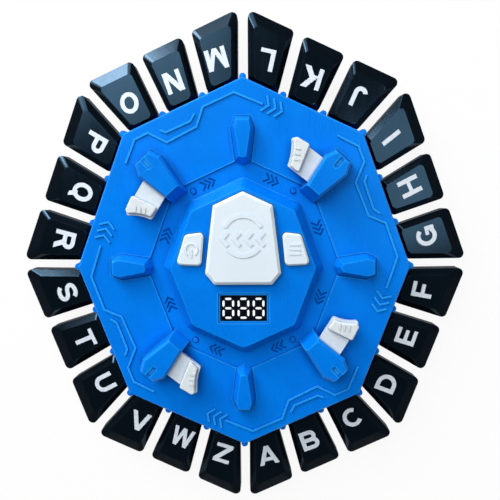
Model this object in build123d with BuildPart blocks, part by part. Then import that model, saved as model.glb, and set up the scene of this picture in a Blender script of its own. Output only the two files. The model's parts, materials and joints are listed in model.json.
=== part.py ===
"""Electronic word game: an eight-sided console with letter keys hinged all round its rim."""

import os
from math import atan2, cos, degrees, radians, sin, sqrt, tan

from build123d import *

os.makedirs("parts", exist_ok=True)

# Plan of the deck, in millimetres
deck_width = 190.0
deck_length = 212.0
side_count = 8
keys_per_side = 3
tower_count = 4
letters = "ghijklmnopqrstuvwzabcdef"

# Heights above the table, and the shells' walls
foot_stand = 1.6
floor_thickness = 2.2
parting_height = 13.0
deck_height = 30.0
deck_thickness = 2.4
deck_edge = 0.7
skirt_inset = 2.2
wall = 2.2
seat_room = 0.1
overrun = 1.0

# Hub and the sunk ring round it
hub_base_width = 91.6
hub_top_width = 81.0
hub_base_corner = 5.0
hub_top_corner = 4.0
hub_rise = 9.0
hub_edge = 0.5
ring_width = 110.4
ring_depth = 1.0
ring_chevron_height = 5.4
ring_chevron_sweep = 2.7
ring_chevron_pitch = 2.7
ring_chevron_stroke = 1.1
ring_chevron_depth = 0.6
ring_chevron_shift = -2.1

# Raised lines and chevrons on the deck
line_stroke = 1.2
line_rise = 0.8
deck_chevron_height = 9.0
deck_chevron_sweep = 2.9
deck_chevron_pitch = 4.0
deck_chevron_inset = 8.3
deck_chevron_start = 17.3
chevron_count = 3
long_line_shares = (
    (0.866, 82.2), (0.921, 93.2), (0.878, 105.4), (0.792, 110.1),
    (0.800, 123.9), (0.905, 128.0), (0.931, 133.2), (0.888, 141.4),
)
short_line_shares = ((0.859, 109.3), (0.831, 111.8), (0.846, 122.3), (0.876, 123.8))

# Fins at the deck's four main corners: distance from the centre and half width
fin_tip = 51.4
fin_neck = 53.8
fin_neck_half = 4.6
fin_hip = 70.0
fin_hip_half = 6.9
fin_end = 76.0
fin_end_half = 4.3
fin_top_tip = 55.2
fin_top_neck = 55.9
fin_top_neck_half = 1.9
fin_top_hip = 69.7
fin_top_hip_half = 4.2
fin_top_end = 73.4
fin_top_end_half = 3.2
fin_rise = 7.0
fin_wall = 1.6

# Towers on the diagonals: distance from the centre and half width
tower_inner = 53.0
tower_inner_half = 5.4
tower_shoulder = 77.4
tower_shoulder_half = 8.5
tower_outer = 84.2
tower_outer_half = 5.6
tower_top_inner = 58.2
tower_top_inner_half = 4.8
tower_top_shoulder = 76.0
tower_top_shoulder_half = 7.9
tower_top_outer = 81.8
tower_top_outer_half = 5.2
tower_edge = 1.2
tower_rise = 11.5
tower_wall = 1.6
tower_slot_width = 2.6
tower_slot_length = 7.0
tower_slot_depth = 1.0

# Thumb paddles: their hinge along the tower, then outlines in the plan before it is stretched
paddle_inner = 60.2
paddle_outer = 74.2
paddle_neck = 3.4
paddle_thickness = 2.8
paddle_height = 36.2
paddle_barrel_radius = 2.4
paddle_pin_radius = 1.0
paddle_rib = 1.6
paddle_rib_width = 5.6
paddle_room = 0.5
paddle_drop_room = 1.2
plate_inner_root = (55.9, 4.4)
plate_outer_root = (70.4, 4.4)
plate_outer_far = (66.6, 25.0)
plate_tip = (64.4, 26.6)
plate_hollow = (58.3, 21.1)
plate_inner_far = (53.3, 18.6)
plate_corner_radius = 1.2
pad_inner_near = (55.0, 11.8)
pad_outer_near = (69.2, 17.2)
pad_outer_far = (66.9, 24.8)
pad_tip = (64.8, 25.4)
pad_hollow = (59.8, 20.7)
pad_inner_far = (54.4, 17.6)
pad_corner_radius = 1.2
pad_rise = 4.0
pad_edge = 0.8
ridge_count = 3
ridge_start = (58.9, 17.4)
ridge_step = (2.1, 1.6)
ridge_length = 3.0
ridge_width = 0.9
ridge_rise = 0.45
paddle_foot_width = 5.0
paddle_foot_thickness = 2.4
paddle_foot_offset = 2.4
switch_size = 6.0
switch_height = 3.5
plunger_radius = 1.7
plunger_height = 1.4
switch_gap = 0.4

# Letter keys, measured from their pivot line
pivot_inset = 16.0
pivot_height = 19.0
key_slope_deg = 5.0
key_gap = 5.9
gap_flare_deg = 5.9
key_root_gap = 0.7
key_near_bevel = 1.7
key_overhang = 33.4
key_drop = 5.0
key_rise = 6.0
key_bevel_height = 3.2
key_side_bevel = 3.4
key_tip_bevel = 7.0
key_corner = 3.0
key_top_corner = 2.2
key_wall = 1.6
tail_share = 0.28
tail_width = 10.0
tail_thickness = 5.0
barrel_radius = 3.0
rod_radius = 1.0
fit_clearance = 0.05
ear_thickness = 1.8
ear_width = 7.0
ear_drop = 2.6
side_play = 0.3
slot_room = 0.6
slot_height = 9.6
lug_length = 8.0
lug_width = 3.8
lug_overhang = 2.4

# Contact board and rubber domes under the key tails
contact_board_height = 10.6
board_thickness = 1.6
board_room = 0.6
contact_board_depth = 14.0
board_post_radius = 2.5
strip_thickness = 0.8
strip_width = 7.6
strip_end = 6.0
dome_reach = 7.0
dome_radius = 3.4
dome_top_radius = 2.2
dome_gap = 0.1

# Large button: seven-sided outline, from its peak down to its foot
pass_peak = 43.1
pass_shoulder = 35.4
pass_shoulder_half = 16.4
pass_hip = -2.2
pass_hip_half = 21.0
pass_foot = -8.4
pass_foot_half = 16.0
pass_corner = 1.2
pass_rise = 4.0
pass_bevel = 1.6
pass_bevel_height = 1.2
pass_wall = 2.0
pass_centre = 16.8
pass_stem_radius = 4.0
mark_centre = 18.7
mark_outer_radius = 12.1
mark_stroke = 2.2
mark_rise = 0.4
mark_upper_arc_deg = 128.0
mark_lower_arc_deg = 104.0
mark_chevron_drop = 1.6
mark_chevron_height = 7.6
mark_chevron_sweep = 3.4
mark_chevron_pitch = 6.6
mark_chevron_count = 4

# Small buttons: power on the left, level on the right, as mirror images
small_head = 20.0
small_head_lean = 0.7
small_head_outer = 32.1
small_head_inner = 21.5
small_foot = 2.2
small_foot_lean = 0.3
small_foot_outer = 37.3
small_foot_inner = 23.3
small_corner = 2.4
small_rise = 2.6
small_bevel = 0.9
small_wall = 1.6
small_stem_radius = 2.0
symbol_radius = 3.4
symbol_stroke = 1.1
symbol_rise = 0.3
symbol_gap_deg = 70.0
level_bar_pitch = 2.6
level_bar_length = 6.4
level_bar_count = 3

# How the hub buttons are guided and held
button_room = 0.35
button_skirt = 4.0
tab_length = 5.0
tab_reach = 1.3
tab_thickness = 1.6
tab_gap = 0.3
pass_tab_offset = 9.0
pass_tab_height = 26.0
stem_gap = 0.2
pad_sheet_thickness = 0.8
button_dome_rise = 3.0
pass_dome_radius = 6.0
pass_dome_top_radius = 4.4
small_dome_radius = 4.0
small_dome_top_radius = 2.6
pad_sheet_margin = 6.0

# Main board, its posts and screws
main_board_height = 22.0
main_board_radius = 54.0
board_arm_width = 13.0
board_arm_end = 74.5
board_post_place = 50.0
board_screw_radius = 1.0
board_screw_head_radius = 2.0
board_screw_head = 1.4
board_screw_length = 5.0

# Display block with three digits of seven segments
display_width = 25.8
display_depth = 14.3
display_place = -22.4
display_sunk = 0.5
display_height = 9.0
display_room = 0.25
display_border = 1.4
display_border_depth = 0.7
pin_radius = 0.3
pin_pitch = 2.54
pin_count = 6
pin_row_pitch = 10.2
pin_row_count = 2
digit_count = 3
digit_pitch = 8.5
digit_half_width = 2.7
digit_half_height = 5.4
segment_stroke = 1.25
segment_gap = 0.8
segment_depth = 0.5
segment_rise = 0.1

# Indicator lenses in the ring, and their lamps on the main board
lens_place = 47.7
lens_angle_deg = 53.8
lens_radius = 1.8
lens_rise = 0.8
lens_edge_share = 0.9
lens_depth = 3.6
lamp_length = 3.0
lamp_width = 1.8
lamp_height = 1.2

# Screw posts of the shells
post_place = 64.0
post_radius = 3.6
boss_rise = 2.4
shell_screw_radius = 1.3
shell_screw_head_radius = 2.8
shell_screw_head = 2.0
shell_screw_length = 14.0
screw_room = 0.1
screw_recess = 0.6
cross_width_share = 0.25
cross_depth_share = 0.5

# Feet
foot_place = 74.0
foot_radius = 6.0
foot_seat = 0.8
foot_edge = 0.4

# Battery bay, cells and door
bay_place = -34.0
cell_count = 3
cell_radius = 5.2
cell_length = 43.5
cell_cap_radius = 1.9
cell_cap_length = 1.0
cell_pitch = 11.3
cell_room = 0.5
spring_length = 4.0
spring_radius = 3.2
spring_wire = 0.5
contact_thickness = 0.4
contact_size = 9.0
bay_wall = 1.6
ledge = 3.0
screw_ledge = 11.0
ledge_thickness = 2.0
door_thickness = 1.7
door_room = 0.3
door_gap = 0.1
door_screw_radius = 1.1
door_screw_head_radius = 2.4
door_screw_head = 1.2
door_screw_length = 8.0
door_boss_radius = 3.4
door_boss_rise = 7.0
grip_count = 5
grip_length = 18.0
grip_width = 1.2
grip_pitch = 2.6
grip_depth = 0.6
grip_offset = -12.0

# Speaker and its grille
speaker_place = 46.0
speaker_radius = 18.0
speaker_rim = 2.0
speaker_basket_radius = 13.0
speaker_basket_rise = 4.6
speaker_magnet_radius = 9.0
speaker_magnet_rise = 4.0
speaker_fence = 1.6
speaker_fence_rise = 3.4
speaker_room = 0.3
grille_slots = 7
grille_slot_width = 1.8
grille_pitch = 4.2
grille_radius = 14.5

# Values that follow from the sizes above
stretch = deck_length / deck_width
deck_radius = deck_width / 2
half_count = side_count // 2
corner_step_deg = 360 / side_count
half_step_deg = corner_step_deg / 2
quarter_deg = 360 / tower_count
half_quarter_deg = quarter_deg / 2
floor_top = foot_stand + floor_thickness
deck_under = deck_height - deck_thickness
ring_top = deck_height - ring_depth
hub_top = deck_height + hub_rise
hub_under = hub_top - wall
tower_top = deck_height + tower_rise
fin_top = deck_height + fin_rise
key_root = pivot_inset + key_root_gap
key_root_top = key_root + key_near_bevel
rod_hole_radius = rod_radius + fit_clearance
contact_board_top = contact_board_height + board_thickness
main_board_top = main_board_height + board_thickness
stem_end = main_board_top + pad_sheet_thickness + button_dome_rise + stem_gap
tail_under = pivot_height - tail_thickness / 2 / cos(radians(key_slope_deg))
dome_top = tail_under - (dome_reach + dome_top_radius) * tan(radians(key_slope_deg)) - dome_gap
bay_length = cell_length + cell_cap_length + spring_length + 2 * contact_thickness + cell_room
bay_width = cell_count * cell_pitch + cell_room
door_top = foot_stand + door_thickness
ledge_under = door_top + door_gap
cell_height = ledge_under + cell_radius + cell_room
bay_ceiling = cell_height + cell_radius + cell_room
recess_length = bay_length + 2 * ledge
recess_width = bay_width + ledge + screw_ledge
recess_place = bay_place + (screw_ledge - ledge) / 2
door_screw_place = bay_place + bay_width / 2 + screw_ledge / 2
boss_top = floor_top + boss_rise
screw_seat = foot_stand + screw_recess + shell_screw_head


def spread(x, y):
    """A point of the regular plan, stretched to the deck's real length."""
    return Vector(x, stretch * y)


def plan(radius, angle_deg):
    """A point of the regular plan given by its distance and direction from the centre."""
    return spread(radius * cos(radians(angle_deg)), radius * sin(radians(angle_deg)))


def corners(radius):
    """The eight corners of an octagon in plan."""
    return [plan(radius, corner_step_deg * i) for i in range(side_count)]


def turn_left(direction):
    """A plan direction turned by a quarter turn."""
    return Vector(-direction.Y, direction.X)


def meet(point, along, other, other_along):
    """Where the line through one point crosses the line through another."""
    share = (other - point).cross(other_along).Z / along.cross(other_along).Z
    return point + along * share


def moved_left(points, amount, closed):
    """A path moved to its left with mitred bends; a closed one is drawn in."""
    moved = []
    last = len(points) - 1
    for k, point in enumerate(points):
        is_start = k == 0 and not closed
        is_end = k == last and not closed
        ahead = point - points[k - 1] if is_end else points[(k + 1) % len(points)] - point
        back = ahead if is_start else point - points[k - 1]
        shift_ahead = turn_left(ahead.normalized()) * amount
        shift_back = turn_left(back.normalized()) * amount
        if is_start or is_end:
            moved.append(point + shift_ahead)
        else:
            moved.append(meet(point + shift_back, back, point + shift_ahead, ahead))
    return moved


def inset(points, amount):
    """A convex outline drawn in by an even amount."""
    return moved_left(points, amount, closed=True)


def stroke(points, width):
    """The outline of an even line that runs through the points."""
    left = moved_left(points, width / 2, closed=False)
    right = moved_left(points, -width / 2, closed=False)
    return left + right[::-1]


def chevron(tip_x, middle_y, height, sweep):
    """The three points of a chevron whose tip points along X."""
    arm_x = tip_x - sweep
    return [
        Vector(arm_x, middle_y + height / 2),
        Vector(tip_x, middle_y),
        Vector(arm_x, middle_y - height / 2),
    ]


def rounded(outline, radius):
    """A face with the given outline and rounded corners."""
    with BuildSketch() as shape:
        Polygon(*outline)
        fillet(shape.vertices(), radius)
    return shape.sketch


def side(i, radius=deck_radius):
    """Start, end, direction and outward normal of one side of an octagon."""
    start, end = plan(radius, corner_step_deg * i), plan(radius, corner_step_deg * (i + 1))
    along = (end - start).normalized()
    return start, end, along, -turn_left(along)


def side_plane(i, inset_by, height, radius=deck_radius):
    """A level plane on a side's middle: X clockwise along the side, Y outward."""
    start, end, along, outward = side(i, radius)
    origin = (start + end) / 2 - outward * inset_by
    return Plane(origin=(origin.X, origin.Y, height), x_dir=-along, z_dir=(0, 0, 1))


def side_length(i):
    """Length of one side of the deck."""
    start, end, _, _ = side(i)
    return (end - start).length


def tail_places(i):
    """Where the three key tails sit along a side, in the order of the keys."""
    reach = tail_share * side_length(i)
    return [reach, 0, -reach]


def at_tails(i, inset_by, height):
    """The places of the three key tails of one side, as locations in the deck's frame."""
    frame = side_plane(i, inset_by, height)
    return [frame.location * Location((x, 0, 0)) for x in tail_places(i)]


def rod_plane(i):
    """A plane across a side's pivot line, at its middle."""
    start, end, along, outward = side(i)
    origin = (start + end) / 2 - outward * pivot_inset
    return Plane(origin=(origin.X, origin.Y, pivot_height), x_dir=outward, z_dir=-along)


def key_plane(i):
    """The keys' own plane on a side's pivot line, tipped down outward by their slope."""
    level = side_plane(i, pivot_inset, pivot_height)
    slope = radians(key_slope_deg)
    upward = level.z_dir * cos(slope) + level.y_dir * sin(slope)
    return Plane(origin=level.origin, x_dir=level.x_dir, z_dir=upward)


def rod_half(i):
    """Half the length of a side's pivot rod, out to the far faces of its end ears."""
    return tail_places(i)[0] + tail_width / 2 + side_play + ear_thickness


def gap_line(i, j):
    """A gap between keys: its point on the deck's edge and its direction outward."""
    start, end, _, _ = side(i)
    first = corner_step_deg * i
    middle = first + half_step_deg
    headings = (first, middle - gap_flare_deg, middle + gap_flare_deg, first + corner_step_deg)
    return start + (end - start) * (j / keys_per_side), plan(1, headings[j]).normalized()


def key_edge(i, j, sign, inset_by, y):
    """How far along the side a key's edge beside a gap lies, at a distance from the pivot line."""
    start, end, along, outward = side(i)
    point, heading = gap_line(i, j)
    from_middle = point - (start + end) / 2
    slant = -heading.dot(along) / heading.dot(outward)
    gap_x = -from_middle.dot(along) + (y - pivot_inset) * slant
    return gap_x + sign * (key_gap / 2 + inset_by) / heading.dot(outward)


def key_reach(i):
    """How far a side's keys reach from their pivot line; it stretches with the plan."""
    _, _, _, outward = side(i)
    overhang = plan(key_overhang, corner_step_deg * i + half_step_deg).dot(outward)
    return (pivot_inset + overhang) / cos(radians(key_slope_deg))


def key_outline(i, m, inset_by, near, far):
    """The four corners of a key's outline in its own frame."""
    return [
        (key_edge(i, m + 1, 1, inset_by, near), near),
        (key_edge(i, m, -1, inset_by, near), near),
        (key_edge(i, m, -1, inset_by, far), far),
        (key_edge(i, m + 1, 1, inset_by, far), far),
    ]


def key_block(frame, i, m, drawn_in, low, mode):
    """A key's upright skirt and bevelled cap, drawn in by a wall for the hollow."""
    near, far = key_root + drawn_in, key_reach(i) - drawn_in
    top_near, top_far = key_root_top + drawn_in, key_reach(i) - key_tip_bevel - drawn_in
    skirt_outline = key_outline(i, m, drawn_in, near, far)
    cap_outline = key_outline(i, m, key_side_bevel + drawn_in, top_near, top_far)
    waist_height = key_rise - key_bevel_height - drawn_in / 2
    with BuildSketch(frame.offset(low)) as foot:
        add(rounded(skirt_outline, key_corner - drawn_in))
    extrude(foot.sketch, amount=waist_height - low, mode=mode)
    with BuildSketch(frame.offset(waist_height)) as waist:
        add(rounded(skirt_outline, key_corner - drawn_in))
    with BuildSketch(frame.offset(key_rise - drawn_in)) as cap:
        add(rounded(cap_outline, key_top_corner - drawn_in))
    loft([waist.sketch, cap.sketch], mode=mode)


def make_key(i, m):
    """One letter key: hollow cap, tail through the skirt, and a barrel on the pivot rod."""
    frame = key_plane(i)
    tail_x = tail_places(i)[m]
    tail_end = key_root + key_wall
    barrel_start = frame.from_local_coords((tail_x - tail_width / 2, 0, 0))
    barrel_plane = Plane(origin=barrel_start, x_dir=frame.y_dir, z_dir=frame.x_dir)
    with BuildPart() as key:
        key_block(frame, i, m, 0, -key_drop, Mode.ADD)
        key_block(frame, i, m, key_wall, -key_drop - overrun, Mode.SUBTRACT)
        with BuildSketch(frame.offset(-tail_thickness / 2)):
            with Locations((tail_x, tail_end / 2)):
                Rectangle(tail_width, tail_end)
        extrude(amount=tail_thickness)
        with BuildSketch(barrel_plane):
            Circle(barrel_radius)
        extrude(amount=tail_width)
        with BuildSketch(barrel_plane):
            Circle(rod_hole_radius)
        extrude(amount=tail_width, mode=Mode.SUBTRACT)
    return key


def fin_outline(angle_deg, points):
    """An outline given by distance and half width, turned to its corner and stretched."""
    c, s = cos(radians(angle_deg)), sin(radians(angle_deg))
    mirrored = [(u, v) for u, v in points[::-1] if v]
    right_side = [(u, -v) for u, v in points]
    return [spread(u * c - v * s, u * s + v * c) for u, v in right_side + mirrored]


def fin_base(angle_deg):
    """The foot of a fin."""
    return fin_outline(angle_deg, [
        (fin_tip, 0), (fin_neck, fin_neck_half), (fin_hip, fin_hip_half), (fin_end, fin_end_half)])


def fin_crest(angle_deg):
    """The top face of a fin."""
    return fin_outline(angle_deg, [
        (fin_top_tip, 0), (fin_top_neck, fin_top_neck_half),
        (fin_top_hip, fin_top_hip_half), (fin_top_end, fin_top_end_half)])


def tower_plane(i, height):
    """A level plane at the deck's centre with X along one tower."""
    heading = plan(1, half_quarter_deg + quarter_deg * i).normalized()
    return Plane(origin=(0, 0, height), x_dir=(heading.X, heading.Y, 0), z_dir=(0, 0, 1))


def paddle_point(i, place):
    """A paddle's point, given in the plan before it is stretched, in its own tower's frame."""
    u, v = place
    turn = radians(half_quarter_deg + quarter_deg * i)
    return tower_plane(i, 0).to_local_coords(
        spread(u * cos(turn) - v * sin(turn), u * sin(turn) + v * cos(turn)))


def ridge_ends(k):
    """The two ends of a pad's ridge, which lies across the row of ridges."""
    row = Vector(*ridge_step)
    middle = Vector(*ridge_start) + row * k
    half = turn_left(row.normalized()) * (ridge_length / 2)
    return [(end.X, end.Y) for end in (middle - half, middle + half)]


tower_base = [
    Vector(tower_inner, tower_inner_half), Vector(tower_inner, -tower_inner_half),
    Vector(tower_shoulder, -tower_shoulder_half), Vector(tower_outer, -tower_outer_half),
    Vector(tower_outer, tower_outer_half), Vector(tower_shoulder, tower_shoulder_half),
]
tower_crest = [
    Vector(tower_top_inner, tower_top_inner_half), Vector(tower_top_inner, -tower_top_inner_half),
    Vector(tower_top_shoulder, -tower_top_shoulder_half),
    Vector(tower_top_outer, -tower_top_outer_half), Vector(tower_top_outer, tower_top_outer_half),
    Vector(tower_top_shoulder, tower_top_shoulder_half),
]
pass_outline = [
    Vector(0, pass_peak), Vector(-pass_shoulder_half, pass_shoulder),
    Vector(-pass_hip_half, pass_hip), Vector(-pass_foot_half, pass_foot),
    Vector(pass_foot_half, pass_foot), Vector(pass_hip_half, pass_hip),
    Vector(pass_shoulder_half, pass_shoulder),
]
power_outline = [
    Vector(-small_head_inner, small_head + small_head_lean),
    Vector(-small_head_outer, small_head - small_head_lean),
    Vector(-small_foot_outer, small_foot + small_foot_lean),
    Vector(-small_foot_inner, small_foot - small_foot_lean),
]
level_outline = [Vector(-point.X, point.Y) for point in power_outline[::-1]]
small_centre_x = (small_head_inner + small_head_outer + small_foot_inner + small_foot_outer) / 4
small_centre_y = (small_head + small_foot) / 2
lens_places = [
    plan(lens_place, angle_deg)
    for angle_deg in (lens_angle_deg, 180 - lens_angle_deg, 180 + lens_angle_deg, -lens_angle_deg)
]
board_post_places = [
    plan(board_post_place, half_step_deg + quarter_deg * i) for i in range(tower_count)]
shell_post_places = [plan(post_place, half_step_deg + corner_step_deg * i) for i in range(side_count)]
foot_places = [
    plan(foot_place, half_quarter_deg + quarter_deg * i) for i in range(tower_count)]
contact_inset = skirt_inset + wall + board_room
contact_post_places = inset(corners(deck_radius), pivot_inset - wall)
lug_places = []
for i in range(side_count):
    for j in range(keys_per_side):
        edge_point, heading = gap_line(i, j)
        lug_centre = edge_point + heading * (lug_overhang - lug_length / 2)
        lug_turn = degrees(atan2(heading.Y, heading.X))
        lug_places.append(Location((lug_centre.X, lug_centre.Y, 0), (0, 0, lug_turn)))


def on_side(i, inset_by, points, radius=deck_radius):
    """Points drawn in a side's own frame, as plan points of the whole deck."""
    frame = side_plane(i, inset_by, 0, radius)
    return [frame.from_local_coords(point) for point in points]


def side_rods(radius):
    """Eight rods on the sides' pivot lines."""
    with BuildPart() as rods:
        for i in range(side_count):
            with BuildSketch(rod_plane(i)):
                Circle(radius)
            extrude(amount=rod_half(i), both=True)
    return rods


def fin_pocket(angle_deg):
    """The outline of the hollow under a fin."""
    return fin_outline(angle_deg, [
        (fin_top_neck + fin_wall, fin_top_neck_half / 2),
        (fin_top_hip, fin_top_hip_half - fin_wall / 2)])


paddle_ribs = (
    paddle_inner - paddle_room - paddle_rib / 2,
    paddle_outer + paddle_room + paddle_rib / 2,
)
pin_start = paddle_ribs[0] - paddle_rib / 2
pin_length = paddle_ribs[1] - paddle_ribs[0] + paddle_rib
pin_plane = Plane(origin=(pin_start, 0, paddle_height), x_dir=(0, 1, 0), z_dir=(1, 0, 0))
slot_low = paddle_height - paddle_thickness / 2 - paddle_drop_room
slot_high = paddle_height + paddle_thickness / 2 + paddle_room
slot_near = min(paddle_point(i, plate_inner_root).X for i in range(tower_count)) - paddle_room
slot_far = max(paddle_point(i, plate_outer_root).X for i in range(tower_count)) + paddle_room
rib_low = paddle_height - paddle_barrel_radius
hub_slope = (hub_base_width - hub_top_width) / 2 / (hub_top - ring_top)
hub_under_radius = hub_top_width / 2 + hub_slope * wall
hub_cavity_base = inset(corners(hub_base_width / 2), wall)
hub_opening = inset(corners(hub_base_width / 2), wall / 2)
hub_cavity_crest = inset(corners(hub_under_radius), wall)
ring_middle = (hub_base_width + ring_width) / 4
deck_outline = corners(deck_radius)
skirt_outline = inset(deck_outline, skirt_inset)
fin_angles = [quarter_deg * i for i in range(tower_count)]
tower_planes = [tower_plane(i, 0) for i in range(tower_count)]
tower_hollow = inset(tower_base, tower_wall)
rod_holes = side_rods(rod_hole_radius)

# One tower cap: hollow block, slot for its paddle, notch on top, and ribs for the paddle's pin
with BuildPart() as tower:
    with BuildSketch(Plane.XY.offset(ring_top)):
        Polygon(*tower_base)
    with BuildSketch(Plane.XY.offset(tower_top)):
        Polygon(*tower_crest)
    loft(ruled=True)
    crest_edges = tower.edges().group_by(Axis.Z)[-1]
    chamfer(crest_edges.filter_by(lambda edge: abs(edge.center().Y) > tower_edge), tower_edge)
    with BuildSketch(Plane.XY.offset(ring_top)):
        Polygon(*tower_hollow)
    with BuildSketch(Plane.XY.offset(tower_top - tower_wall)):
        Polygon(*inset(tower_crest, tower_wall))
    loft(ruled=True, mode=Mode.SUBTRACT)
    with BuildSketch(Plane.XY.offset(slot_low)):
        with Locations(((slot_near + slot_far) / 2, tower_outer_half)):
            Rectangle(slot_far - slot_near, 2 * tower_outer_half)
    extrude(amount=slot_high - slot_low, mode=Mode.SUBTRACT)
    with BuildSketch(Plane.XY.offset(tower_top - tower_slot_depth)):
        with Locations((tower_top_outer, 0)):
            SlotOverall(2 * tower_slot_length, tower_slot_width)
    extrude(amount=tower_slot_depth, mode=Mode.SUBTRACT)
    with BuildSketch(Plane.XY.offset(rib_low)):
        with Locations(*[(rib_u, 0) for rib_u in paddle_ribs]):
            Rectangle(paddle_rib, paddle_rib_width)
    extrude(amount=tower_top - tower_wall / 2 - rib_low)
    with BuildSketch(pin_plane):
        Circle(paddle_pin_radius + fit_clearance)
    extrude(amount=pin_length, mode=Mode.SUBTRACT)

# The four tower caps, each standing in its own recess of the deck
with BuildPart() as paddle_towers:
    with Locations(*tower_planes):
        add(tower.part)
paddle_towers.part.label = "paddle_towers"
export_step(paddle_towers.part, "parts/paddle_towers.step")

# The four fins, each standing in its own recess of the deck
with BuildPart() as corner_fins:
    for angle_deg in fin_angles:
        with BuildSketch(Plane.XY.offset(ring_top)):
            Polygon(*fin_base(angle_deg))
        with BuildSketch(Plane.XY.offset(fin_top)):
            Polygon(*fin_crest(angle_deg))
        loft(ruled=True)
    with BuildSketch(Plane.XY.offset(ring_top)):
        for angle_deg in fin_angles:
            Polygon(*fin_pocket(angle_deg))
    extrude(amount=fin_top - fin_wall - ring_top, mode=Mode.SUBTRACT)
corner_fins.part.label = "corner_fins"
export_step(corner_fins.part, "parts/corner_fins.step")

# Hub cover: stands on the ring, with a lip in the deck's opening and cut-outs for buttons and display
with BuildPart() as hub_cover:
    with BuildSketch(Plane.XY.offset(ring_top)):
        add(rounded(corners(hub_base_width / 2), hub_base_corner))
    with BuildSketch(Plane.XY.offset(hub_top)):
        add(rounded(corners(hub_top_width / 2), hub_top_corner))
    loft()
    fillet(hub_cover.edges().group_by(Axis.Z)[-1], hub_edge)
    with BuildSketch(Plane.XY.offset(deck_under)):
        Polygon(*inset(hub_opening, fit_clearance))
    extrude(amount=ring_top - deck_under)
    with BuildSketch(Plane.XY.offset(deck_under)):
        Polygon(*hub_cavity_base)
    extrude(amount=ring_top - deck_under, mode=Mode.SUBTRACT)
    with BuildSketch(Plane.XY.offset(ring_top)):
        Polygon(*hub_cavity_base)
    with BuildSketch(Plane.XY.offset(hub_under)):
        Polygon(*hub_cavity_crest)
    loft(ruled=True, mode=Mode.SUBTRACT)
    with BuildSketch(Plane.XY.offset(hub_under - overrun)):
        add(rounded(inset(pass_outline, -button_room), pass_corner + button_room))
        add(rounded(inset(power_outline, -button_room), small_corner + button_room))
        add(rounded(inset(level_outline, -button_room), small_corner + button_room))
        with Locations((0, display_place)):
            Rectangle(display_width + 2 * display_room, display_depth + 2 * display_room)
    extrude(amount=wall + 2 * overrun, mode=Mode.SUBTRACT)
    with BuildSketch(Plane.XY.offset(hub_top - display_border_depth)):
        with Locations((0, display_place)):
            Rectangle(display_width + 2 * display_border, display_depth + 2 * display_border)
    extrude(amount=display_border_depth, mode=Mode.SUBTRACT)
hub_cover.part.label = "hub_cover"
export_step(hub_cover.part, "parts/hub_cover.step")

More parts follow.
